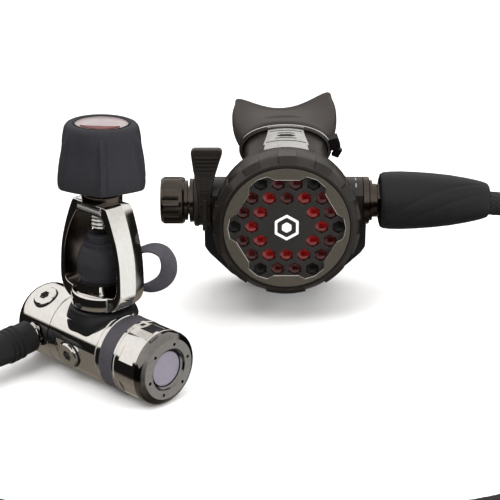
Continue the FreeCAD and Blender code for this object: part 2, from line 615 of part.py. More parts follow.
def nameplate():
    wedge = Part.Face(Part.makePolygon([V(-13.2, 14, 30), V(13.2, 14, 30), V(9.9, 35.5, 30),
                                        V(-9.9, 35.5, 30), V(-13.2, 14, 30)])).extrude(V(0, 0, 50))
    plate = neck_band(NECK_A, NECK_B, 0.8, 0, 23.8).common(wedge)
    return plate.cut(rod(40.25, 0, 30, Y))


def exhaust_tee():
    outline = mirrored([(0, -6), (47, -6), (47, -23, 5), (31, -48, 20), (14, TEE_BOTTOM, 12), (0, TEE_BOTTOM)])
    inside = mirrored([(0, -2), (44.8, -2), (44.8, -22, 4), (29.4, -46.4, 18), (13.2, TEE_BOTTOM + 2.2, 11),
                       (0, TEE_BOTTOM + 2.2)])
    shape_side = prism_x([(24, -5), (24, -27, 3), (52, TEE_BOTTOM - 0.1), (68, TEE_BOTTOM - 0.1, 5), (70, -34, 8),
                          (50, -5)], -60, 60)
    hollow_side = prism_x([(26.2, 0), (26.2, -26, 2), (53.5, -59), (65.8, -59, 3), (67.8, -34.6, 6), (50, -10),
                           (40, 0)], -60, 60)
    solid = prism_y(outline, 20, 72).common(shape_side)
    solid = solid.cut(prism_y(inside, 20, 72).common(hollow_side))
    outlets = [prism_x([(38, -27), (62, -31), (58, -20), (40, -13)], a, b) for a, b in ((-60, -30), (30, 60))]
    case_room = union([rod(40.25, 0, 21, Y), lathe([(0, 20.9), (40.25, 20.9), (37.1, 30), (28.1, 38.05), (0, 38.05)], Y),
                       rod(BOSS_R + 0.05, -60, 60, X, AXIS_AT), rod(15.6, -60, BOSS_LEFT, X, AXIS_AT)])
    return solid.cut(union(outlets)).cut(case_room)


def mouth_nodes():
    keep("nameplate", nameplate(), SECOND_PLACE)
    keep("mouthpiece", mouthpiece(), SECOND_PLACE)
    keep("mouthpiece_tie", mouthpiece_tie(), SECOND_PLACE)
    keep("exhaust_valve", lathe([(0, 38.1), (10.8, 38.1), (10.8, 38.8), (3, 39.6), (0, 39.6)], Y, V(0, 0, -17)),
         SECOND_PLACE)
    keep("exhaust_tee", exhaust_tee(), SECOND_PLACE)


# ---- hose ---------------------------------------------------------------------------------
def port_line(distance):
    """Point on the hose port's axis, in the set's frame."""
    return FIRST_PLACE.multVec(V(PORT_X, 0, 0) + radial(HOSE_ANGLE) * distance)


HOSE_START, HOSE_END = 28.0, 66.0
INLET = SECOND_AT + AXIS_AT
HOSE_ROUTE = [port_line(HOSE_START), port_line(78), V(-148.5, -134, FLOOR), V(-127.5, -181, FLOOR),
              V(-81.5, -208, FLOOR), V(3, -216, FLOOR), V(73, -214, FLOOR), V(137, -200.5, FLOOR),
              V(192, -168, FLOOR), V(228, -120, 13), V(244, -62, 36), V(233, -7, 56.5),
              INLET + V(145.2, 0, 0), INLET + V(HOSE_END, 0, 0)]


def hose():
    radii = [0]
    for before, corner, after in zip(HOSE_ROUTE, HOSE_ROUTE[1:], HOSE_ROUTE[2:]):
        half_turn = (corner - before).getAngle(after - corner) / 2
        shorter = min(corner.distanceToPoint(before), corner.distanceToPoint(after))
        radii.append(0.45 * shorter / math.tan(half_turn))
    radii.append(0)
    path = rounded_wire(HOSE_ROUTE, radii, closed=False)
    section = Part.Wire(Part.Circle(HOSE_ROUTE[0], HOSE_ROUTE[1] - HOSE_ROUTE[0], HOSE_R).toShape())
    solid = path.makePipeShell([section], True, True)
    print("hose arc radii, mm:", [round(r) for r in radii[1:-1]])
    print("hose length, mm:", round(path.Length), "volume ratio",
          round(solid.Volume / (math.pi * HOSE_R ** 2 * path.Length), 4))
    return solid


def hose_nodes():
    out, port = radial(HOSE_ANGLE), V(PORT_X, 0, 0)
    fitting = union([rod(LOW_BORE_R - 0.02, 13, 19, out, port), rod(6.6, PLUG_SEAT, 21, out, port),
                     polygon_rod(6, 13, 21, HOSE_START, out, port)])
    ferrule = ring(FERRULE_R, HOSE_R, HOSE_START, 42, out, port)
    ferrule.Placement = FIRST_PLACE * ferrule.Placement
    keep("hose_fitting_first", fitting.cut(rod(2.2, 10, 30, out, port)), FIRST_PLACE)
    keep("hose_ferrules", Part.makeCompound([ferrule, ring(FERRULE_R, HOSE_R, HOSE_END, 82, X, INLET)]), HERE)
    ribs = [(SLEEVE_R, 21.5)]
    for i in range(3):
        at = 29 + 3.4 * i
        ribs += [(SLEEVE_R, at), (SLEEVE_R + 0.7, at + 0.7), (SLEEVE_R + 0.7, at + 1.9), (SLEEVE_R, at + 2.6)]
    sleeve = lathe([(FERRULE_R, 21.5)] + ribs + [(8.2, 46), (8.0, 53.5), (HOSE_R, 54), (HOSE_R, 42.1), (FERRULE_R, 42.1)],
                   out, port)
    keep("hose_sleeve_first", sleeve, FIRST_PLACE)
    keep("hose", hose(), HERE)
    nut = lathe([(7.2 + GAP, 52.2), (9.9, 52.2), (9.9, 64), (3.4, 64), (3.4, 58.2), (7.2 + GAP, 58.2)], X)
    nut = nut.common(polygon_rod(6, 18, 50, 66, X))
    keep("hose_nut", union([nut, ring(5.5, 3.4, 64, HOSE_END, X)]),
         FreeCAD.Placement(INLET, FreeCAD.Rotation()))
    guard = lathe([(10.4, 53.6), (13.6, 53.6), (16.2, 55.0, 1.5), (16.6, 62, 6), (15.4, 82, 60), (10.2, 114, 1.5),
                   (9.4, 116.5, 1), (HOSE_R, 116.5), (HOSE_R, 82.1), (FERRULE_R, 82.1), (FERRULE_R, 64.6),
                   (10.4, 64.6)], X, INLET)
    keep("hose_guard_second", guard, HERE)


def main():
    barrel_nodes()
    cap_nodes()
    yoke_nodes()
    front_nodes()
    valve_nodes()
    mouth_nodes()
    hose_nodes()
    os.makedirs("parts", exist_ok=True)
    for name, shape in NODES.items():
        shape.exportStep(f"parts/{name}.step")
    print(len(NODES), "nodes")


main()
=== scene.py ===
"""Looks of the scuba regulator set: materials, detailed rubber and plastic pieces, hose, light and camera.

Each stage is drawn in its own frame in millimetres, as its CAD is: the first stage along its barrel,
the second stage from the centre of its case with the purge cover facing -Y.
"""
import bpy, json, math
from mathutils import Matrix, Vector


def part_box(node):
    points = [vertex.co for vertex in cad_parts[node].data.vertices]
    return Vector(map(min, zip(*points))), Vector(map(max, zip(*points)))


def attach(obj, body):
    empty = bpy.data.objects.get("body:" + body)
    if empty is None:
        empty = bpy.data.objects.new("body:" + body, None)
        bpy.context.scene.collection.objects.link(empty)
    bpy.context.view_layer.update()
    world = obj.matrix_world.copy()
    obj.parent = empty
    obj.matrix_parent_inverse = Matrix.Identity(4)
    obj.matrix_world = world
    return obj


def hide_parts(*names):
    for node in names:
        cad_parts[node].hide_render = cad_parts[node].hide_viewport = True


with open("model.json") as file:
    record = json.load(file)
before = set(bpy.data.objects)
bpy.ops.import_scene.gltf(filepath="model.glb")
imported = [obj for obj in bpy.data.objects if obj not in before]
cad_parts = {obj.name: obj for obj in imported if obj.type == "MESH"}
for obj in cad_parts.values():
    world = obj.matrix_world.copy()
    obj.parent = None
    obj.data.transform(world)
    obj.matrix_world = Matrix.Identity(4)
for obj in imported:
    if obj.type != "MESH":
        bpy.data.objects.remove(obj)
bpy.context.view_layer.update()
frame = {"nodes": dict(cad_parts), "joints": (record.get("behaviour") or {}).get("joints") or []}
NODES = frame["nodes"]
JOINTS = {joint["name"]: joint for joint in frame["joints"]}
MM = 0.001


def stage_place(origin, along=(1, 0, 0), up=(0, 0, 1)):
    """From millimetres in a stage's own frame to metres in the row frame."""
    x, z = Vector(along), Vector(up)
    turn = Matrix((x, z.cross(x), z)).transposed().to_4x4()
    return Matrix.Translation(origin) @ turn @ Matrix.Scale(MM, 4)


BARREL = JOINTS["first_stage_swivel"]
INLET_AT = Vector(JOINTS["second_stage_swivel"]["pos_m"])
VALVE = Vector((0, 21, 6.7))             # valve axis from the case's centre
FIRST = stage_place(BARREL["pos_m"], BARREL["axis"], JOINTS["yoke_screw_travel"]["axis"])
SECOND = stage_place(INLET_AT - VALVE * MM)
INLET = stage_place(INLET_AT)


# ---- materials ----------------------------------------------------------------------------
def shader(name, colour, roughness, metallic=0.0, vary=0.12, grain=400.0, rough_vary=0.08, bump=0.0,
           bump_grain=2500.0, **settings):
    """Principled material whose colour, roughness and relief vary with noise in the object's own space."""
    made = bpy.data.materials.new(name)
    made.use_nodes = True
    nodes, links = made.node_tree.nodes, made.node_tree.links
    principled = nodes["Principled BSDF"]
    place = nodes.new("ShaderNodeTexCoord")
    noise = nodes.new("ShaderNodeTexNoise")
    noise.inputs["Scale"].default_value = grain
    noise.inputs["Detail"].default_value = 5
    links.new(place.outputs["Object"], noise.inputs["Vector"])
    tone = nodes.new("ShaderNodeValToRGB")
    tone.color_ramp.elements[0].position = 0.3
    tone.color_ramp.elements[1].position = 0.7
    tone.color_ramp.elements[0].color = [c * (1 - vary) for c in colour] + [1]
    tone.color_ramp.elements[1].color = [min(1, c * (1 + vary)) for c in colour] + [1]
    links.new(noise.outputs["Fac"], tone.inputs["Fac"])
    links.new(tone.outputs["Color"], principled.inputs["Base Color"])
    gloss = nodes.new("ShaderNodeMapRange")
    gloss.inputs["To Min"].default_value = max(0.02, roughness - rough_vary)
    gloss.inputs["To Max"].default_value = roughness + rough_vary
    links.new(noise.outputs["Fac"], gloss.inputs["Value"])
    links.new(gloss.outputs["Result"], principled.inputs["Roughness"])
    principled.inputs["Metallic"].default_value = metallic
    for socket, value in settings.items():
        principled.inputs[socket.replace("_", " ")].default_value = value
    if bump:
        fine = nodes.new("ShaderNodeTexNoise")
        fine.inputs["Scale"].default_value = bump_grain
        fine.inputs["Detail"].default_value = 3
        links.new(place.outputs["Object"], fine.inputs["Vector"])
        relief = nodes.new("ShaderNodeBump")
        relief.inputs["Strength"].default_value = bump
        relief.inputs["Distance"].default_value = 0.0002
        links.new(fine.outputs["Fac"], relief.inputs["Height"])
        links.new(relief.outputs["Normal"], principled.inputs["Normal"])
    return made


def braid_shader(name, colour):
    """Woven cover: u runs along the hose in strand pitches and v round it in strands."""
    made = shader(name, colour, 0.5, vary=0.3, grain=900)
    nodes, links = made.node_tree.nodes, made.node_tree.links

    def maths(operation, a, b=0.0):
        node = nodes.new("ShaderNodeMath")
        node.operation = operation
        for socket, value in zip(node.inputs, (a, b)):
            if isinstance(value, (int, float)):
                socket.default_value = value
            else:
                links.new(value, socket)
        return node.outputs[0]

    axes = nodes.new("ShaderNodeSeparateXYZ")
    links.new(nodes.new("ShaderNodeUVMap").outputs["UV"], axes.inputs[0])
    along, around = axes.outputs["X"], axes.outputs["Y"]
    one = maths("MULTIPLY", maths("ADD", along, around), math.pi)
    other = maths("MULTIPLY", maths("SUBTRACT", along, around), math.pi)
    cross = maths("MULTIPLY", maths("SINE", one), maths("SINE", other))
    above = maths("GREATER_THAN", cross, 0.0)
    strands = [maths("SINE", maths("MULTIPLY", way, 6.0)) for way in (one, other)]
    fine = maths("ADD", maths("MULTIPLY", strands[0], above),
                 maths("MULTIPLY", strands[1], maths("SUBTRACT", 1.0, above)))
    relief = nodes.new("ShaderNodeBump")
    relief.inputs["Strength"].default_value = 0.8
    relief.inputs["Distance"].default_value = 0.0004
    links.new(maths("ADD", maths("ABSOLUTE", cross), maths("MULTIPLY", fine, 0.25)), relief.inputs["Height"])
    links.new(relief.outputs["Normal"], nodes["Principled BSDF"].inputs["Normal"])
    return made


CHROME = shader("dark_chrome", (0.84, 0.82, 0.79), 0.06, 1.0, vary=0.04, rough_vary=0.025)
RING_CHROME = shader("ring_chrome", (0.22, 0.21, 0.20), 0.10, 1.0, vary=0.06, rough_vary=0.03)
STEEL = shader("steel", (0.62, 0.62, 0.61), 0.26, 1.0, vary=0.06, bump=0.1)
BRASS = shader("brass", (0.72, 0.53, 0.26), 0.28, 1.0, vary=0.08, bump=0.1)
# gunmetal of the knob, fittings and collar; on the yoke's window wall it is painted shade
GUNMETAL_AND_SHADE = shader("gunmetal", (0.092, 0.077, 0.065), 0.20, 1.0, vary=0.1)
BRONZE = shader("bronze_trim", (0.170, 0.152, 0.122), 0.42, 0.75, vary=0.05, bump=0.12, bump_grain=6000)
KNOB_RUBBER = shader("knob_rubber", (0.0155, 0.0155, 0.020), 0.62, vary=0.12, bump=0.25, bump_grain=5000,
                     Specular_IOR_Level=0.35)
RUBBER = shader("black_rubber", (0.007, 0.007, 0.008), 0.52, vary=0.15, bump=0.22, bump_grain=5000,
                Specular_IOR_Level=0.3)
BAND_RUBBER = shader("band_rubber", (0.052, 0.049, 0.058), 0.5, vary=0.1, bump=0.2, bump_grain=5000,
                     Specular_IOR_Level=0.3)
SILICONE = shader("mouth_silicone", (0.030, 0.025, 0.022), 0.52, vary=0.12, bump=0.2, bump_grain=4000,
                  Specular_IOR_Level=0.35)
GREY_SILICONE = shader("grey_silicone", (0.19, 0.175, 0.215), 0.42, vary=0.06, bump=0.15)
CASE = shader("case_plastic", (0.0110, 0.0086, 0.0068), 0.34, vary=0.12, bump=0.25, bump_grain=3800,
              Specular_IOR_Level=0.5)
COVER = shader("cover_plastic", (0.021, 0.019, 0.017), 0.42, vary=0.08, bump=0.15, bump_grain=5000,
               Specular_IOR_Level=0.35)
RED = shader("red_plastic", (0.27, 0.002, 0.003), 0.10, vary=0.45, grain=200, Coat_Weight=0.3)
# darker red: the badge's printed crescent, and painted shade in the purge cover's outer ring of dishes and
# its top middle dish
DARK_RED = shader("red_print_and_painted_shade", (0.075, 0.0035, 0.004), 0.16, vary=0.5, grain=200)
WHITE = shader("white_print", (0.80, 0.79, 0.77), 0.35, vary=0.03)
SILVER = shader("silver_print", (0.27, 0.262, 0.25), 0.5, 0.0, vary=0.1, bump=0.1)
# bright metal for the yoke's rules, and painted highlight on the tie's front edge and round the trim ring's
# opening
BRIGHT = shader("bright_metal_and_painted_highlight", (0.75, 0.74, 0.72), 0.2, 1.0, vary=0.03)
BADGE = shader("badge_print", (0.26, 0.215, 0.22), 0.22, 0.0, vary=0.25, grain=70, Coat_Weight=0.3)
# black plastic and rubber; also painted shade in the trim ring's gap, the port plugs' gaps and their sockets
BLACK = shader("black_plastic_and_painted_shade", (0.006, 0.005, 0.005), 0.38, vary=0.2, bump=0.15, Specular_IOR_Level=0.3)
BRAID = braid_shader("woven_braid", (0.008, 0.0075, 0.007))

FINISHES = {
    CHROME: ("first_stage_body", "swivel_turret", "yoke_frame", "spring_cap", "high_port_plugs",
             "low_port_plugs", "turret_bolt", "yoke_retainer", "hose_fitting_first", "hose_ferrules"),
    RING_CHROME: ("end_ring",),
    STEEL: ("main_spring", "poppet_return_spring", "purge_spring", "demand_spring", "filter_clip",
            "yoke_screw", "inlet_orifice", "demand_lever", "diaphragm_disc"),
    BRASS: ("valve_lifter", "valve_poppet", "spring_pad", "spring_adjuster", "clamp_washer", "inlet_filter",
            "knob_hub"),
    GUNMETAL_AND_SHADE: ("adjust_knob", "inlet_fitting", "valve_tube", "hose_nut"),
    BRONZE: ("trim_ring",),
    KNOB_RUBBER: ("yoke_knob", "dust_cap"),
    RUBBER: ("yoke_boot", "body_seals", "low_plug_seals", "main_diaphragm", "hose_sleeve_first",
             "hose_guard_second", "exhaust_valve", "exhaust_tee"),
    BAND_RUBBER: ("cover_band", "dust_cap_strap"),
    SILICONE: ("mouthpiece",),
    GREY_SILICONE: ("outer_diaphragm", "diaphragm"),
    CASE: ("case_shell", "front_bezel", "venturi_lever", "diaphragm_clamp", "demand_poppet"),
    COVER: ("purge_cover",),
    RED: ("red_plate",),
    WHITE: ("purge_emblem",),
    SILVER: ("nameplate",),
    BADGE: ("knob_badge",),
    BLACK: ("mouthpiece_tie", "yoke_screw_tip"),
    BRAID: ("hose",),
}
for finish, names in FINISHES.items():
    for name in names:
        NODES[name].data.materials.clear()
        NODES[name].data.materials.append(finish)


# ---- building pieces ----------------------------------------------------------------------
SHADED_SHARP = math.radians(40)          # edges that turn more than this are shaded as edges
ROUNDED_OFF = math.radians(32)           # edges that turn more than this are rounded by soften


def show(mesh, name, finish, place, body, *stands_for):
    """Puts a mesh drawn in a stage's frame on a body, in place of the CAD nodes it stands for."""
    mesh.transform(place)
    mesh.shade_smooth()
    mesh.set_sharp_from_angle(angle=SHADED_SHARP)
    mesh.materials.append(finish)
    piece = bpy.data.objects.new(name, mesh)
    bpy.context.scene.collection.objects.link(piece)
    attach(piece, body)
    if stands_for:
        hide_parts(*stands_for)
    return piece


def soften(piece, width, segments=3):
    """Rounds the piece's edges by a width in millimetres."""
    bevel = piece.modifiers.new("edges", "BEVEL")
    bevel.width = width * MM
    bevel.segments = segments
    bevel.limit_method = "ANGLE"
    bevel.angle_limit = ROUNDED_OFF
    bevel.use_clamp_overlap = True
    piece.modifiers.new("normals", "WEIGHTED_NORMAL").keep_sharp = True
    return piece


def skin(rings, joined=False):
    """Mesh through rings of equally many points. The ends are capped, or joined to each other."""
    count = len(rings[0])
    points = [p for ring in rings for p in ring]
    faces = []
    spans = len(rings) if joined else len(rings) - 1
    for i in range(spans):
        near, far = i * count, (i + 1) % len(rings) * count
        for j in range(count):
            k = (j + 1) % count
            faces.append((near + j, near + k, far + k, far + j))
    if not joined:
        faces.append(tuple(reversed(range(count))))
        faces.append(tuple(range(len(points) - count, len(points))))
    mesh = bpy.data.meshes.new("skin")
    mesh.from_pydata([tuple(p) for p in points], [], faces)
    mesh.validate()
    return mesh


def circle(radius, count=160):
    """Points round a circle."""
    turns = [2 * math.pi * i / count for i in range(count)]
    return [(radius * math.cos(t), radius * math.sin(t)) for t in turns]


def frame_along(axis):
    """Matrix that carries +Z to the axis."""
    return Vector((0, 0, 1)).rotation_difference(Vector(axis)).to_matrix().to_4x4()


def spun(profile, axis=(0, 0, 1), at=(0, 0, 0), count=96, shape=None):
    """Closed surface of revolution through (radius, along); shape(angle, along) adds to the radius."""
    turn = Matrix.Translation(at) @ frame_along(axis)
    rings = []
    for radius, along in profile:
        ring = []
        for i in range(count):
            angle = 2 * math.pi * i / count
            r = radius + (shape(angle, along) if shape else 0.0)
            ring.append(turn @ Vector((r * math.cos(angle), r * math.sin(angle), along)))
        rings.append(ring)
    return skin(rings, joined=profile[0][0] > 0.01 and profile[-1][0] > 0.01)


def rounded(corners, radius):
    """Outline through the corners, each one rounded, as (x, z) pairs."""
    outline, steps = [], 5
    for i, corner in enumerate(corners):
        corner = Vector(corner)
        back = (Vector(corners[i - 1]) - corner).normalized()
        ahead = (Vector(corners[(i + 1) % len(corners)]) - corner).normalized()
        half = back.angle(ahead) / 2
        reach = radius / math.tan(half)
        centre = corner + (back + ahead).normalized() * (radius / math.sin(half))
        start, end = corner + back * reach - centre, corner + ahead * reach - centre
        for step in range(steps + 1):
            outline.append(tuple(centre + start.slerp(end, step / steps)))
    return outline


def hexagon(across_flats, corner, at=(0, 0)):
    """Hexagon with its corners rounded."""
    radius = across_flats / 2 / math.cos(math.pi / 6)
    turns = [math.radians(30 + 60 * i) for i in range(6)]
    return rounded([(at[0] + radius * math.cos(t), at[1] + radius * math.sin(t)) for t in turns], corner)


def plate(outlines, near, far, bevel):
    """Plate with holes and rounded edges: outlines in x and z, solid from y = near to y = far."""
    curve = bpy.data.curves.new("plate", "CURVE")
    curve.dimensions = "2D"
    curve.fill_mode = "BOTH"
    curve.extrude = (far - near) / 2 - bevel
    curve.bevel_depth = bevel
    curve.bevel_resolution = 2
    curve.offset = -bevel
    for outline in outlines:
        spline = curve.splines.new("POLY")
        spline.points.add(len(outline) - 1)
        for point, (x, z) in zip(spline.points, outline):
            point.co = (x, z, 0, 1)
        spline.use_cyclic_u = True
    holder = bpy.data.objects.new("plate", curve)
    mesh = bpy.data.meshes.new_from_object(holder)
    bpy.data.objects.remove(holder)
    mesh.transform(Matrix.Translation((0, (near + far) / 2, 0)) @ Matrix.Rotation(math.pi / 2, 4, "X"))
    return mesh


def blended(stations, steps):
    """Smooth rows of numbers through the stations, by cubic blending between neighbours."""
    rows = []
    last = len(stations) - 1
    for i in range(last):
        p0, p1, p2, p3 = (stations[max(0, min(last, i + k))] for k in (-1, 0, 1, 2))
        for step in range(steps):
            t = step / steps
            row = []
            for a, b, c, d in zip(p0, p1, p2, p3):
                bend = 2 * a - 5 * b + 4 * c - d + t * (3 * (b - c) + d - a)
                row.append(b + 0.5 * t * (c - a + t * bend))
            rows.append(tuple(row))
    return rows + [tuple(stations[-1])]


def cut_away(piece, cutter):
    """Cuts a closed mesh, already in the row frame, out of the piece."""
    tool = bpy.data.objects.new("cutter", cutter)
    bpy.context.scene.collection.objects.link(tool)
    cutting = piece.modifiers.new("cut", "BOOLEAN")
    cutting.object, cutting.solver = tool, "EXACT"
    result = bpy.data.meshes.new_from_object(piece.evaluated_get(bpy.context.evaluated_depsgraph_get()))
    piece.modifiers.remove(cutting)
    bpy.data.objects.remove(tool)
    piece.data = result
    result.shade_smooth()
    result.set_sharp_from_angle(angle=SHADED_SHARP)


# ---- camera -------------------------------------------------------------------------------
def add_camera():
    """Camera at the photograph's angle, level from side to side."""
    elevation = 22
    data = bpy.data.cameras.new("camera")
    data.lens, data.sensor_width, data.clip_start, data.clip_end = 100, 36, 0.01, 20
    camera = bpy.data.objects.new("camera", data)
    camera.location = (0.0235, -0.7208, 0.3406)
    camera.rotation_euler = (math.radians(90 - elevation), 0, 0)
    bpy.context.scene.collection.objects.link(camera)
    bpy.context.scene.camera = camera


# ---- hose ---------------------------------------------------------------------------------
HOSE_D = 0.0134
LYING_Z = 0.0071                         # height of the hose's middle where it lies on the floor
PORT_DROP = math.radians(6.2)            # the hose port points this far below the horizontal
PORT_AXIS = Vector((0, -math.cos(PORT_DROP), -math.sin(PORT_DROP)))
LOW_PORT_X = -35.5                       # planes of the ports along the barrel
HIGH_PORT_X = -5.5


def hose_route():
    """Control points from the port, along the floor in front of the set, and up to the inlet."""
    port = [FIRST @ (Vector((LOW_PORT_X, 0, 0)) + PORT_AXIS * along) for along in (28, 78)]
    inlet = [INLET @ Vector((along, 0, 0)) for along in (145.2, 66)]
    lying = [(-0.1485, -0.134), (-0.1275, -0.181), (-0.0815, -0.208), (0.003, -0.216), (0.073, -0.214),
             (0.137, -0.2005), (0.192, -0.168)]
    rising = [(0.228, -0.12, 0.013), (0.244, -0.062, 0.036), (0.233, -0.007, 0.0565)]
    return port + [Vector((x, y, LYING_Z)) for x, y in lying] + [Vector(p) for p in rising] + inlet


def route_line(route):
    """Points along the smooth curve that the route's points control."""
    curve = bpy.data.curves.new("route", "CURVE")
    curve.dimensions = "3D"
    curve.resolution_u = 40
    spline = curve.splines.new("NURBS")
    spline.points.add(len(route) - 1)
    for point, place in zip(spline.points, route):
        point.co = (*place, 1)
    spline.order_u = 3
    spline.use_endpoint_u = True
    holder = bpy.data.objects.new("route", curve)
    mesh = bpy.data.meshes.new_from_object(holder)
    bpy.data.objects.remove(holder)
    return [v.co.copy() for v in mesh.vertices]


def add_hose():
    """Braided hose with raised strands; its UV map counts pitches along it and strands round it."""
    line = route_line(hose_route())
    lengths = [0.0]
    for a, b in zip(line, line[1:]):
        lengths.append(lengths[-1] + (b - a).length)
    strands, pitch, around, strand_height = 18, 0.0036, 108, 0.00032
    rings, side = [], Vector((0, 0, 1))
    for i, place in enumerate(line):
        ahead = (line[min(i + 1, len(line) - 1)] - line[max(i - 1, 0)]).normalized()
        side = (side - ahead * side.dot(ahead)).normalized()
        other = ahead.cross(side)
        ring = []
        for j in range(around):
            angle = 2 * math.pi * j / around
            u, v = lengths[i] / pitch, strands * j / around
            weave = abs(math.sin(math.pi * (u + v)) * math.sin(math.pi * (u - v)))
            radius = HOSE_D / 2 + strand_height * (weave - 0.5)
            ring.append(place + (side * math.cos(angle) + other * math.sin(angle)) * radius)
        rings.append(ring)
    mesh = skin(rings)
    uv = mesh.uv_layers.new(name="UVMap")
    for face in mesh.polygons:
        seam = len(face.vertices) == 4 and max(k % around for k in face.vertices) == around - 1 \
            and min(k % around for k in face.vertices) == 0
        for loop in face.loop_indices:
            ring, step = divmod(mesh.loops[loop].vertex_index, around)
            step = around if seam and step == 0 else step
            uv.data[loop].uv = (lengths[ring] / pitch, strands * step / around)
    hose = show(mesh, "hose_braid", BRAID, Matrix.Identity(4), "hose_line", "hose")
    hose.visible_glossy = False          # the chrome mirrors neither hose, floor nor lamps, only the studio


# ---- second stage: front ------------------------------------------------------------------
def hexagon_places(pitch, rings):
    """Centres of a hexagonal lattice that lie in the given rings round its middle."""
    reach = max(rings)
    for q in range(-reach, reach + 1):
        for r in range(-reach, reach + 1):
            if max(abs(q), abs(r), abs(q + r)) in rings:
                yield pitch * (q + r / 2), pitch * r * math.sqrt(3) / 2


def add_purge_cover():
    """Perforated cover, the red plate behind it with a dish for each hole, and a plain hexagon emblem."""
    holes = list(hexagon_places(9.8, (2, 3)))
    cover = plate([circle(34.4)] + [hexagon(6.9, 0.9, place) for place in holes], -5.2, -2.1, 0.3)
    show(cover, "purge_plate", COVER, SECOND, "purge_button", "purge_cover")
    red_radius = 25.8
    rim = plate([circle(31), circle(red_radius)], -0.8, 0.2, 0.1)
    show(rim, "red_plate_rim", BLACK, SECOND, "purge_button")
    disc = plate([circle(red_radius)], -0.8, 0.2, 0.1)
    show(disc, "red_disc", RED, SECOND, "purge_button", "red_plate")
    bowl = [(0, 0.95), (1.2, 1.0), (2.2, 1.2), (3.0, 1.55), (3.5, 1.95), (3.6, 1.95), (3.6, 0.75),
            (0, 0.75)]
    for number, (x, z) in enumerate(holes):
        out = math.hypot(x, z)
        # middle dishes red; the ring round them and the top middle dish darker red as painted shade; the
        # outermost dishes black
        if out > 28:
            finish = BLACK
        elif out > 22 or abs(x) < 1 < z:
            finish = DARK_RED
        else:
            finish = RED
        show(spun(bowl, (0, -1, 0), (x, 0, z), 24), f"red_dish_{number}", finish, SECOND, "purge_button")
    emblem = plate([hexagon(15, 1.8), hexagon(11.2, 1.4), hexagon(5, 0.8)], -5.75, -5.15, 0.15)
    show(emblem, "emblem", WHITE, SECOND, "purge_button", "purge_emblem")


def trim_opening(grow):
    """Six-lobed opening of the trim ring, grown outwards by a given amount."""
    corners = []
    for i in range(6):
        for offset, radius in ((-15.5, 28.9), (-11.2, 32.4), (0, 33.1), (11.2, 32.4), (15.5, 28.9)):
            angle = math.radians(60 * i + offset)
            corners.append(((radius + grow) * math.cos(angle), (radius + grow) * math.sin(angle)))
    return rounded(corners, 1.3)


def add_trim_ring():
    """Scalloped ring with a brighter metal strip round its opening as painted highlight, and a black ring as
    painted shade in the gap between it and the bezel.
    """
    edge = 0.5
    for name, finish, outlines, near, far, bevel, *stands_for in (
            ("trim_plate", BRONZE, (circle(35.4, 200), trim_opening(edge)), -7.3, -5.4, 0.3, "trim_ring"),
            # black ring: painted shade in the gap to the bezel
            ("trim_gap", BLACK, (circle(36.2, 200), circle(35.3, 200)), -7.35, -6.4, 0.12),
            # brighter metal round the opening: painted highlight
            ("trim_edge", BRIGHT, (trim_opening(edge), trim_opening(0)), -7.2, -5.4, 0.24)):
        show(plate(outlines, near, far, bevel), name, finish, SECOND, "second_stage", *stands_for)


def arc_block(radii, turns, depths):
    """Block between two radii, two angles in degrees clockwise from the top, and two depths."""
    (inner, outer), (front, back) = radii, depths
    slope, steps = 1.6, 10
    section = ((inner, front), (outer, front + slope), (outer, back), (inner, back))
    rings = []
    for i in range(steps + 1):
        turn = math.radians(turns[0] + (turns[1] - turns[0]) * i / steps)
        out = Vector((math.sin(turn), 0, math.cos(turn)))
        rings.append([out * r + Vector((0, y, 0)) for r, y in section])
    return skin(rings)


def add_bezel():
    """Screwed bezel: five raised blocks at its top with panels between, and grips round the rest."""
    profile = [(35.5, -3.0), (35.5, 6.6), (36.2, 7.1), (37.3, 6.9), (38.2, 5.4), (40.4, 3.0), (41.2, 0.5),
               (41.4, -8.4), (40.9, -9.0), (39.5, -9.0), (39.5, -3.0)]
    show(spun(profile, (0, -1, 0), count=160), "bezel_ring", CASE, SECOND, "second_stage", "front_bezel")
    tabs = [(middle - 7.2, middle + 7.2, 41.9, -6.3, CASE) for middle in (-60, -30, 0, 30, 60)]
    tabs += [(middle - 6.6, middle + 6.6, 40.9, -3.0, COVER) for middle in (-45, -15, 15, 45)]
    tabs += [(start, start + reach, 41.7, -4.4, CASE) for start, reach in
             ((73, 12), (97, 18), (127, 20), (164, 32), (213, 20), (245, 18), (275, 12))]
    for number, (start, end, high, front, finish) in enumerate(tabs):
        block = arc_block((37.4, high), (start, end), (front, 6.5))
        soften(show(block, f"bezel_tab_{number}", finish, SECOND, "second_stage"), 0.4)


# ---- second stage: neck and mouthpiece ----------------------------------------------------
TILT = math.radians(18)
NECK_AT = Vector((0, 16, 24))
NECK_U = Vector((0, math.cos(TILT), math.sin(TILT)))
NECK_W = Vector((0, -math.sin(TILT), math.cos(TILT)))
CUFF_END = 30                            # further along the neck than this the mouthpiece droops and rolls
DROOP = 0.28                             # millimetres down for each millimetre along
ROLL = 0.17                              # degrees for each millimetre along


def neck_point(across, up, along):
    """Place in the second stage's frame from distances across, above and along the neck."""
    return NECK_AT + Vector((across, 0, 0)) + NECK_W * up + NECK_U * along


def neck_ring(half_wide, half_high, along, lift=0.0, sweep=0.0, power=2.0, roll=0.0):
    """Superellipse across the neck, its two ends lifted and swept along the neck, rolled by degrees."""
    ring, count = [], 96
    for i in range(count):
        t = 2 * math.pi * i / count
        c, s = math.cos(t), math.sin(t)
        x = half_wide * math.copysign(abs(c) ** (2 / power), c)
        z = half_high * math.copysign(abs(s) ** (2 / power), s)
        bend = (x / half_wide) ** 2
        across, up = x, z + lift * bend - DROOP * max(0.0, along - CUFF_END)
        turn = math.radians(roll)
        ring.append(neck_point(across * math.cos(turn) - up * math.sin(turn),
                               across * math.sin(turn) + up * math.cos(turn), along + sweep * bend))
    return ring


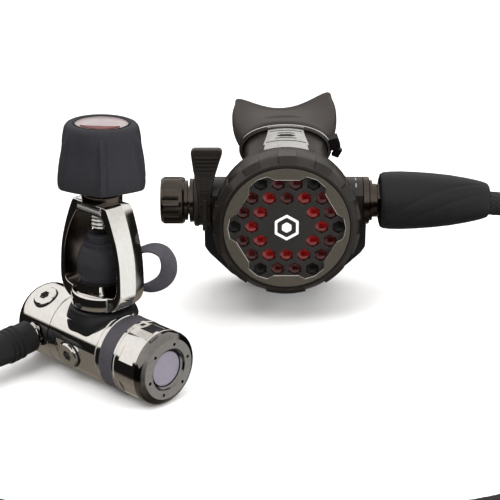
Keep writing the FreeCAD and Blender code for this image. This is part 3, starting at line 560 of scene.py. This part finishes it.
def add_mouthpiece():
    """Silicone mouthpiece: a cuff on the neck and a lip flange that swells out and dips in its middle.

    The skin's rows are (half width, half height, along), and further out also (lift, sweep, power).
    """
    cuff = [(25.2, 15.6, 23.6), (26.0, 16.4, 24.2), (26.0, 16.4, 25.0), (25.3, 15.7, 25.4),
            (25.3, 15.7, 28.0), (26.1, 16.5, 28.5), (26.3, 16.5, 30)]
    outer = [(27.0, 16.4, 33, 0.3, 0.1, 2.15), (28.6, 15.8, 37, 1.2, 0.4, 2.2),
             (30.0, 15.0, 41, 3.0, 1.0, 2.3), (30.9, 14.2, 45, 5.2, 2.0, 2.4),
             (31.2, 13.4, 48.5, 7.6, 3.0, 2.5), (31.0, 12.9, 51.5, 9.6, 4.2, 2.65),
             (30.3, 12.7, 54.0, 11.0, 5.0, 2.8), (29.5, 12.6, 56.0, 12.0, 5.4, 2.9),
             (29.1, 12.9, 57.6, 12.6, 5.6, 3.0), (29.2, 13.5, 58.8, 13.0, 5.8, 3.0),
             (29.0, 13.6, 59.6, 13.0, 5.8, 3.0)]
    inner = [(28.1, 12.6, 60.0, 12.6, 5.8, 3.0), (24.0, 10.0, 58.8, 7.0, 4.0, 2.5),
             (18.0, 8.8, 56.5, 2.0, 2.0, 2.2), (17.0, 8.5, 50, 0.5, 0.5, 2.0)]
    rings = [neck_ring(a, b, u, power=2.15) for a, b, u in cuff]
    rings += [neck_ring(a, b, u, lift=lift, sweep=sweep, power=power, roll=(u - CUFF_END) * ROLL)
              for a, b, u, lift, sweep, power in outer + inner]
    rings += [neck_ring(a, b, u) for a, b, u in ((17.0, 8.5, 37.2), (24.0, 14.5, 37.0), (24.0, 14.5, 23.6))]
    body = show(skin(rings, joined=True), "mouthpiece_skin", SILICONE, SECOND, "second_stage", "mouthpiece")
    smooth = body.modifiers.new("smooth", "SUBSURF")
    smooth.levels = smooth.render_levels = 1
    tab = ((55, 2.0, 6.0, 20.5), (60, 1.9, 6.4, 21.5), (66, 1.7, 6.8, 22.4), (72, 2.4, 6.6, 22.8),
           (75.5, 3.4, 6.0, 22.8), (77.3, 2.6, 5.0, 22.8))
    for side, word in ((-1, "left"), (1, "right")):
        rings = [[neck_point(side * out + half_x * c, half_z * s - 4.5 + side * 2.0, along)
                  for c, s in circle(1, 24)] for along, half_x, half_z, out in tab]
        show(skin(rings), f"bite_tab_{word}", SILICONE, SECOND, "second_stage")


def add_tie():
    """Clamp strap round the mouthpiece with a bright metal band beside it as painted highlight of its front
    edge, its ratchet head and its cut tail.
    """
    bands = (("tie_strap", BLACK, 1.3, 25.5, 27.9, "mouthpiece_tie"),
             # the bright band beside the strap is a painted highlight of its front edge
             ("tie_edge_highlight", BRIGHT, 1.6, 24.3, 25.1))
    for name, finish, thick, start, end, *stands_for in bands:
        section = ((0, start), (thick, start), (thick, end), (0, end))
        rings = [neck_ring(25.3 + out, 15.7 + out, along, power=2.15) for out, along in section]
        band = show(skin(rings, joined=True), name, finish, SECOND, "second_stage", *stands_for)
        soften(band, 0.3)
    turn = Matrix.Rotation(TILT, 4, "X")
    for name, at, sizes, lean in (("tie_head", (28.0, 3.5, 26.7), (3.2, 2.6, 4.0), -18),
                                  ("tie_tail", (30.2, -3.6, 26.7), (2.2, 1.4, 3.0), 24)):
        block = skin([[Vector((x * sizes[0], y * sizes[1], z * sizes[2])) for x, y in
                       ((-1, -1), (1, -1), (1, 1), (-1, 1))] for z in (-1, 1)])
        leaning = Matrix.Rotation(math.radians(lean), 4, "Y")
        block.transform(Matrix.Translation(neck_point(*at)) @ turn @ leaning)
        soften(show(block, name, BLACK, SECOND, "second_stage"), 0.5)


def add_nameplate():
    """Small silver plate lying on the top of the neck, with a plain pattern of dark bars."""
    half_wide, half_high = 24.0, 14.5

    def patch(name, rows, rise, finish):
        rings = []
        for along, half in rows:
            row = []
            for i in range(25):
                t = math.acos(half * (i / 12 - 1) / half_wide)
                row.append(neck_point(half_wide * math.cos(t), half_high * math.sin(t) + rise, along))
            rings.append(row + [p - NECK_W * 0.5 for p in reversed(row)])
        soften(show(skin(rings), name, finish, SECOND, "second_stage"), 0.12)

    patch("neck_plate", [(10.6 + 12.0 * i / 8, 13.0 - 3.0 * i / 8) for i in range(9)], 0.75, SILVER)
    bars = [[(14.2, 6.0), (14.9, 6.0)], [(18.9, 5.0), (19.6, 5.0)],
            [(15.8, 3.0), (16.9, 5.6), (18.0, 3.0)], [(11.6, 11.4), (12.2, 11.3)], [(21.4, 9.3), (21.9, 9.2)]]
    for number, bar in enumerate(bars):
        patch(f"neck_plate_mark_{number}", bar, 0.92, BLACK)


# ---- second stage: controls ---------------------------------------------------------------
def add_venturi_lever():
    """Thumb lever: a grooved ring round the valve, and a ribbed paddle.

    The paddle's rows are (z, left, right, front, back).
    """
    ridge = [(8.1, -52.5), (13.9, -52.5), (14.9, -51.9), (15.0, -50.0), (14.3, -49.4), (14.3, -45.4),
             (15.0, -44.8), (15.0, -43.2), (14.2, -42.5), (8.1, -42.5)]
    soften(show(spun(ridge, (1, 0, 0), VALVE, 96), "lever_ring", CASE, SECOND, "venturi_lever",
                "venturi_lever"), 0.35)
    rows = [(8.6, -48.6, -43.6, 5.8, 8.8), (9.6, -49.5, -42.6, 5.3, 8.8), (14, -49.9, -42.5, 5.4, 9.4),
            (19, -50.6, -41.8, 6.4, 10.4), (24, -51.6, -40.6, 7.9, 12.4), (29, -52.6, -39.0, 9.1, 14.8),
            (34, -53.3, -37.4, 9.7, 15.5), (38.2, -53.8, -36.0, 10.1, 15.6), (39.8, -53.2, -36.5, 10.3, 15.5),
            (40.6, -51.6, -38.0, 10.6, 15.3)]
    rings = [[Vector((x, y, z)) for x, y in ((left, front), (right, front), (right, back), (left, back))]
             for z, left, right, front, back in rows]
    soften(show(skin(rings), "lever_paddle", CASE, SECOND, "venturi_lever"), 0.9, 4)
    section = ((0.6, -0.65), (-1.0, -0.3), (-1.0, 0.3), (0.6, 0.65))
    for i in range(10):
        z = 16.6 + 2.15 * i
        near = [row for row in rows if row[0] <= z][-1]
        after = rows[rows.index(near) + 1]
        t = (z - near[0]) / (after[0] - near[0])
        left, right, front = (near[k] + (after[k] - near[k]) * t for k in (1, 2, 3))
        rib = skin([[Vector((x, front + y, z + up)) for y, up in section] for x in (left + 1.7, right - 1.7)])
        soften(show(rib, f"lever_rib_{i}", CASE, SECOND, "venturi_lever"), 0.2)
    tongue = skin([[Vector((x, y, z)) for x, y in ((-47.4, 5.6), (-44.6, 5.6), (-44.6, 4.7), (-47.4, 4.7))]
                   for z in (-6.0, 12.5)])
    soften(show(tongue, "lever_tongue", CASE, SECOND, "venturi_lever"), 0.4)


def add_inlet_details():
    """Two grey index marks on the inlet boss."""
    section = ((39.4, -1.4), (40.0, -1.4), (40.0, 1.4), (39.4, 1.4))
    for i, turn in enumerate((58, 82)):
        out = Vector((0, -math.cos(math.radians(turn)), math.sin(math.radians(turn))))
        up = Vector((0, out.z, -out.y))
        rings = [[VALVE + Vector((x, 0, 0)) + out * reach + up * rise for x, rise in section]
                 for reach in (13.3, 13.75)]
        show(skin(rings), f"index_mark_{i}", SILVER, SECOND, "second_stage")


# ---- hose protector -----------------------------------------------------------------------
def add_hose_guard():
    """Long tapered protector; two grooves sweep along its side."""
    profile = [(10.4, 53.8), (13.2, 53.6), (15.2, 54.2), (16.2, 56.0), (16.6, 60), (16.7, 66), (16.4, 74),
               (15.7, 84), (14.6, 94), (13.1, 103), (11.6, 110), (10.6, 113.6), (9.8, 115.6), (8.6, 116.5),
               (6.72, 116.5)]
    fine = []
    for (r0, a0), (r1, a1) in zip(profile, profile[1:]):
        steps = max(1, round(math.hypot(r1 - r0, a1 - a0) / 0.8))
        fine += [(r0 + (r1 - r0) * i / steps, a0 + (a1 - a0) * i / steps) for i in range(steps)]
    fine.append(profile[-1])

    def groove(angle, along):
        """Depth of the two swept grooves at a place on the skin."""
        t = (along - 56) / 55
        if not 0 <= t <= 1:
            return 0.0
        depth = 0.0
        for start, end in ((2.2, 0.35), (2.75, 0.95)):
            path = start + (end - start) * (t ** 0.6)
            for turned in (path, path + math.pi):
                off = (angle - turned + math.pi) % (2 * math.pi) - math.pi
                depth -= 0.5 * math.exp(-(off / 0.085) ** 2) * min(1, 6 * t, 6 * (1 - t))
        return depth

    bore = [(6.72, 100), (6.72, 82), (7.7, 81.8), (7.7, 64.7), (10.4, 64.6)]
    guard = spun(fine + bore, (1, 0, 0), count=180, shape=groove)
    show(guard, "hose_guard", RUBBER, INLET, "hose_line", "hose_guard_second")


# ---- first stage --------------------------------------------------------------------------
def add_yoke_knob():
    """Bowed hexagonal grip with a rib on each corner and a round crown."""
    levels = [(21.5, 87.0), (23.0, 87.1), (23.7, 87.6), (24.15, 88.6), (24.5, 90.5), (24.65, 93),
              (24.35, 96.5), (23.75, 100), (22.9, 104), (22.1, 108), (21.4, 111), (20.5, 113.6),
              (19.85, 115), (19.35, 115.9), (19.0, 116.8), (18.5, 117.9), (17.6, 118.9), (16.5, 119.4),
              (15.4, 119.5), (14.6, 119.3), (14.2, 118.8), (14.1, 117.3)]
    hollow = [(6.3, 117.3), (6.3, 105), (9.9, 105), (9.9, 93), (13.0, 91), (13.0, 87.6), (13.6, 87.0)]
    corner_at, flat_depth, count = 18, 0.098, 360
    rings = []
    for radius, z in levels:
        square = min(1, max(0, (116.2 - z) / 9)) ** 0.7
        rib = min(1, max(0, (115.2 - z) / 2.0)) * min(1, max(0, (z - 87.4) / 1.5))
        ring = []
        for i in range(count):
            angle = 2 * math.pi * i / count
            off = (math.degrees(angle) - corner_at + 30) % 60 - 30
            t = abs(off) / 30
            r = radius * (1 - square * flat_depth * (1 - (1 - t) ** 1.9))
            r += rib * (0.8 * math.exp(-(off / 2.0) ** 4) - 0.5 * math.exp(-((abs(off) - 5.2) / 2.2) ** 2))
            ring.append(Vector((r * math.cos(angle), r * math.sin(angle), z)))
        rings.append(ring)
    turns = circle(1, count)
    rings += [[Vector((r * c, r * s, z)) for c, s in turns] for r, z in hollow]
    show(skin(rings, joined=True), "knob_grip", KNOB_RUBBER, FIRST, "screw_knob", "yoke_knob")


def add_knob_badge():
    """Domed badge in a dark rim, with a plain dark red crescent on the side that faces the front."""
    dome = [(0, 117.4), (13.9, 117.4), (13.9, 118.4), (13.5, 118.95)]
    dome += [(13.2 * math.cos(0.15 * i), 118.9 + 1.45 * math.sin(0.15 * i)) for i in range(1, 10)]
    show(spun(dome + [(0, 120.35)]), "badge_dome", BADGE, FIRST, "screw_knob", "knob_badge")
    rim = spun([(13.6, 117.6), (14.1, 117.6), (14.1, 119.5), (13.75, 119.5), (13.6, 119.2)])
    show(rim, "badge_rim", BLACK, FIRST, "screw_knob")
    heading, half_span, steps = 43, 52, 24
    rings = []
    for i in range(steps + 1):
        turn = math.radians(-90 + heading - half_span + 2 * half_span * i / steps)
        near = 12.5 - 3.6 * math.sin(math.pi * i / steps)
        section = ((near, 119.95 + 0.025 * (12.5 - near)), (12.7, 119.6), (12.7, 119.1), (near, 119.1))
        rings.append([Vector((reach * math.cos(turn), reach * math.sin(turn), rise))
                      for reach, rise in section])
    show(skin(rings), "badge_mark", DARK_RED, FIRST, "screw_knob")


def add_yoke():
    """Arched frame with chamfered rims and sides that draw in behind, its base ring and its collar.

    The stations are (x, z) of the outside and (x, z) of the window, down the right half from the top.
    """
    stations = [(0, 79, 0, 72.8), (7.5, 79, 5.6, 72.8), (11.9, 78.9, 9.0, 72.6), (13.6, 77.6, 10.6, 70.8),
                (16.9, 70.5, 13.6, 66), (20.3, 61, 17.0, 58.5), (22.7, 51, 19.6, 49.5),
                (23.5, 41, 20.4, 41.5), (23.4, 33, 19.9, 35.2), (21.6, 27.8, 18.2, 32.2),
                (18.2, 24.2, 14.5, 30.9), (14, 23, 10, 30.6), (0, 23, 0, 30.6)]
    rows = blended(stations, 6)
    rows += [(-a, b, -c, d) for a, b, c, d in reversed(rows[1:-1])]
    middle = Vector((0, 0, 52))

    def loop(y, inset, inside):
        """Outside or window at a depth, drawn in towards the middle."""
        ring = []
        for row in rows:
            x, z = row[2:] if inside else row[:2]
            at = Vector((x, 0, z))
            ring.append(at - (at - middle).normalized() * inset + Vector((0, y, 0)))
        return ring

    outside = [(-9, 1.0), (-8.75, 0.45), (-8.2, 0), (1.2, 0), (2.0, 0.12), (8.7, 1.7), (9, 2.0)]
    window = [(9, -0.5), (8.5, 0), (-8.3, 0), (-8.8, -0.35), (-9, -0.8)]
    rings = [loop(y, inset, False) for y, inset in outside] + [loop(y, inset, True) for y, inset in window]
    mesh = skin(rings, joined=True)
    wall = len(outside)                  # the window's wall takes the darker gunmetal as painted shade inside the window
    for number, face in enumerate(mesh.polygons):
        face.material_index = 1 if wall <= number // len(rows) <= wall + 2 else 0
    arch = show(mesh, "yoke_arch", CHROME, FIRST, "first_stage", "yoke_frame")
    arch.data.materials.append(GUNMETAL_AND_SHADE)
    hole = spun([(0, 68), (6.5, 68), (6.5, 90), (0, 90)], count=48)
    hole.transform(FIRST)
    cut_away(arch, hole)
    arch.modifiers.new("normals", "WEIGHTED_NORMAL").keep_sharp = True
    base = spun([(10.6, 22), (15.2, 22), (16.1, 22.6), (16.5, 23.6), (16.5, 29.4), (16.2, 30.2), (15.6, 30.6),
                 (10.6, 30.6)])
    show(base, "yoke_base", CHROME, FIRST, "first_stage")
    collar = spun([(6.7, 77.5), (10.2, 77.5), (10.5, 78), (10.5, 82), (10.2, 82.6), (8.8, 83.9), (8.6, 84.4),
                   (8.6, 85.9), (6.7, 85.9)])
    show(collar, "yoke_collar", GUNMETAL_AND_SHADE, FIRST, "first_stage")


def add_screw_thread():
    """Yoke screw with its thread, which fades to nothing at both ends."""
    low, high, pitch = 64.7, 109.7, 2.0

    def thread(angle, along):
        """Height of the thread above the core."""
        if min(along - low, high - along) < 0.1:
            return 0.0
        phase = (along / pitch - angle / (2 * math.pi)) % 1
        return 0.55 * (1 - abs(2 * phase - 1))

    rows = [(5.75, low + 0.25 * i) for i in range(181)]
    screw = spun([(0, low)] + rows + [(0, high)], count=48, shape=thread)
    show(screw, "screw_thread", STEEL, FIRST, "screw_knob", "yoke_screw")


def add_yoke_relief():
    """Plain slanted ridges between two rules on the front of the yoke's top."""
    shapes = [([(-8.2, low), (8.2, low), (8.2, high), (-8.2, high)], BRIGHT)
              for low, high in ((77.2, 77.5), (74.0, 74.3))]
    shapes += [([(x - 0.5, 74.9), (x + 0.1, 74.9), (x + 0.6, 76.6), (x, 76.6)], SILVER) for x in
               (-7.4 + 1.9 * i for i in range(9))]
    for number, (shape, finish) in enumerate(shapes):
        bar = plate([rounded(shape, 0.12)], -9.4, -8.9, 0.08)
        show(bar, f"yoke_relief_{number}", finish, FIRST, "first_stage")


def add_plug_details():
    """Black ring round each port plug as painted shade in its gap, and a black disc as painted shade on the
    floor of its socket.

    The plugs are (turn, place along the barrel, seat, radius of the head, width of the socket, body).
    """
    plugs = [(turn, LOW_PORT_X, 18.3, 6.4, 5.0, "hose_line") for turn in (61, 127, 193)]
    plugs += [(turn, HIGH_PORT_X, 18.0, 6.9, 5.5, "first_stage") for turn in (-12, 192)]
    for number, (turn, along, seat, head, socket, body) in enumerate(plugs):
        out = (0, -math.cos(math.radians(turn)), math.sin(math.radians(turn)))
        shade_ring = [(head + 0.05, seat + 0.1), (head + 0.65, seat + 0.1), (head + 0.65, seat + 0.9),
                  (head + 0.05, seat + 0.9)]
        floor = [(0, seat + 0.65), (socket / 2 - 0.1, seat + 0.65), (socket / 2 - 0.1, seat + 1.1),
                 (0, seat + 1.1)]
        # both black: painted shade in the plug's gap and in its socket
        for name, profile, count in (("shade_ring", shade_ring, 64), ("socket", floor, 32)):
            show(spun(profile, out, (along, 0, 0), count), f"plug_{name}_{number}", BLACK, FIRST, body)


def add_strap():
    """Flat strap of the dust cap: edge-on above, then turned to lie flat on its way back to the retainer.

    The stations are (x, z, quarter turns of twist, half width), from the middle of the CAD strap's box.
    """
    low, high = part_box("dust_cap_strap")
    middle = (low + high) / 2
    stations = [(-13.8, 6.0, 0.0, 3.2), (-10.0, 9.2, 0.05, 3.4), (-5.0, 11.6, 0.1, 3.5),
                (0.0, 11.9, 0.3, 3.7), (4.6, 9.6, 0.55, 4.0), (7.0, 4.6, 0.8, 4.3), (7.0, -1.0, 0.95, 4.4),
                (4.8, -5.6, 1.0, 4.2), (0.6, -8.8, 0.95, 3.8), (-4.6, -10.2, 0.7, 3.5),
                (-10.4, -9.4, 0.3, 3.3)]
    rows = blended(stations, 6)
    rings = []
    for i, (x, z, twist, half) in enumerate(rows):
        before, after = rows[max(0, i - 1)], rows[min(len(rows) - 1, i + 1)]
        ahead = Vector((after[0] - before[0], 0, after[1] - before[1])).normalized()
        outward = Vector((-ahead.z, 0, ahead.x))
        turn = twist * math.pi / 2
        wide = Vector((0, math.cos(turn), 0)) + outward * math.sin(turn)
        thick = ahead.cross(wide).normalized() * 0.95
        ring = [wide * (half * c) + thick * (math.copysign(abs(s) ** 0.5, s)) for c, s in circle(1, 24)]
        rings.append([Vector((x, 0, z)) + p for p in ring])
    place = Matrix.Translation(middle) @ Matrix.Scale(MM, 4)
    show(skin(rings), "cap_strap", BAND_RUBBER, place, "first_stage", "dust_cap_strap")


def add_boot():
    """Rubber saddle between the yoke and the barrel: lobes in front and behind, a slot in the left one."""
    surface, neck, top, count = 19.95, 10.6, 21.4, 180
    rings = []
    for level in range(15):
        t = level / 14
        ring = []
        for i in range(count):
            angle = 2 * math.pi * i / count
            off = math.degrees(math.acos(min(1, abs(math.sin(angle)))))
            lobe = math.exp(-((off - 27) / 15) ** 2) + 0.12
            foot_reach = 17.2 + 1.5 * lobe
            foot = math.sqrt(surface ** 2 - (foot_reach * math.sin(angle)) ** 2)
            reach = 16.2 + (foot_reach - 16.2) * min(1, t * 1.6) ** 0.7 + 0.5 * math.sin(math.pi * t)
            if level == 1:
                reach += 0.35
            z = top + (foot - top) * t if t < 1 else foot - 0.05
            ring.append(Vector((reach * math.cos(angle), reach * math.sin(angle), z)))
        rings.append(ring)
    rings.append([Vector((x, y, math.sqrt(surface ** 2 - y * y))) for x, y in circle(neck, count)])
    rings.append([Vector((x, y, top)) for x, y in circle(neck, count)])
    boot = show(skin(rings, joined=True), "saddle_boot", RUBBER, FIRST, "first_stage", "yoke_boot")
    slot = plate([rounded([(-4.2, -1.0), (4.2, -1.0), (4.2, 1.0), (-4.2, 1.0)], 0.9)], -24, -15.4, 0.01)
    slot.transform(FIRST @ Matrix.Rotation(math.radians(-26), 4, "Z") @ Matrix.Translation((0, 0, 14.6)))
    cut_away(boot, slot)


# ---- light and floor ----------------------------------------------------------------------
def add_light():
    """Soft studio: bright overhead and at the right, a dark horizon and a dim brown ground at the left."""
    bpy.context.scene.view_settings.view_transform = "Standard"
    world = bpy.data.worlds.new("studio")
    bpy.context.scene.world = world
    world.use_nodes = True
    nodes, links = world.node_tree.nodes, world.node_tree.links
    axes = nodes.new("ShaderNodeSeparateXYZ")
    links.new(nodes.new("ShaderNodeTexCoord").outputs["Generated"], axes.inputs[0])

    def ramp(fac, stops):
        made = nodes.new("ShaderNodeValToRGB")
        for _ in stops[2:]:
            made.color_ramp.elements.new(0.5)
        for element, (at, colour) in zip(made.color_ramp.elements, stops):
            element.position, element.color = at, (*colour, 1)
        links.new(fac, made.inputs["Fac"])
        return made.outputs["Color"]

    def spread(socket, low, high):
        made = nodes.new("ShaderNodeMapRange")
        made.inputs["From Min"].default_value, made.inputs["From Max"].default_value = low, high
        links.new(socket, made.inputs["Value"])
        return made.outputs["Result"]

    height = spread(axes.outputs["Z"], -1, 1)
    dim = ramp(height, ((0.0, (0.05, 0.045, 0.04)), (0.13, (0.22, 0.195, 0.165)),
                        (0.235, (0.15, 0.135, 0.115)), (0.275, (0.010, 0.009, 0.008)),
                        (0.565, (0.010, 0.009, 0.008)), (0.60, (0.92, 0.89, 0.86)),
                        (0.80, (0.98, 0.96, 0.94)), (1.0, (0.8, 0.8, 0.8))))
    bright = ramp(height, ((0.0, (0.03, 0.03, 0.03)), (0.16, (0.06, 0.055, 0.05)),
                           (0.22, (0.95, 0.95, 0.93)), (0.56, (1.0, 1.0, 0.98)),
                           (0.66, (0.8, 0.79, 0.77)), (1.0, (0.8, 0.8, 0.8))))
    right = nodes.new("ShaderNodeMath")
    right.operation = "MULTIPLY"
    links.new(spread(axes.outputs["X"], 0.25, 0.6), right.inputs[0])
    links.new(spread(axes.outputs["Y"], 0.36, 0.2), right.inputs[1])
    mix = nodes.new("ShaderNodeMix")
    mix.data_type = "RGBA"
    links.new(right.outputs[0], mix.inputs["Factor"])
    links.new(dim, mix.inputs["A"])
    links.new(bright, mix.inputs["B"])
    links.new(mix.outputs["Result"], nodes["Background"].inputs["Color"])
    aimed_at = Vector((0, 0, 0.05))
    for name, at, size, power in (("key", (-0.6, -0.8, 1.4), 0.7, 12), ("top", (0.2, 0.2, 1.6), 2.4, 26),
                                  ("side", (1.2, -0.6, 0.8), 0.6, 12)):
        data = bpy.data.lights.new(name, "AREA")
        data.size, data.energy = size, power
        lamp = bpy.data.objects.new(name, data)
        lamp.location = at
        lamp.visible_glossy = False
        lamp.rotation_euler = (aimed_at - Vector(at)).to_track_quat("-Z", "Y").to_euler()
        bpy.context.scene.collection.objects.link(lamp)


def add_floor():
    """Plain pale floor."""
    reach = 6.0
    mesh = bpy.data.meshes.new("floor")
    corners = [(-reach, -reach, 0), (reach, -reach, 0), (reach, reach, 0), (-reach, reach, 0)]
    mesh.from_pydata(corners, [], [(0, 1, 2, 3)])
    mesh.materials.append(shader("pale_floor", (0.92, 0.92, 0.92), 0.6, vary=0.01))
    floor = bpy.data.objects.new("floor", mesh)
    bpy.context.scene.collection.objects.link(floor)
    floor.visible_glossy = False


# ---- the whole set ------------------------------------------------------------------------
add_camera()
add_hose()
EDGES = {"yoke_retainer": 0.3, "first_stage_body": 0.25, "swivel_turret": 0.25, "spring_cap": 0.25,
         "end_ring": 0.2, "adjust_knob": 0.35, "inlet_fitting": 0.25, "case_shell": 0.8,
         "exhaust_tee": 1.2, "hose_sleeve_first": 0.25, "low_port_plugs": 0.2, "high_port_plugs": 0.2,
         "dust_cap": 0.3, "cover_band": 0.2, "hose_nut": 0.3, "hose_fitting_first": 0.25}
for name, width in EDGES.items():
    soften(NODES[name], width)

for build in (add_purge_cover, add_trim_ring, add_bezel, add_mouthpiece, add_tie, add_nameplate,
              add_venturi_lever, add_inlet_details, add_hose_guard, add_yoke_knob, add_knob_badge, add_yoke,
              add_screw_thread, add_yoke_relief, add_plug_details, add_strap, add_boot, add_light, add_floor):
    build()
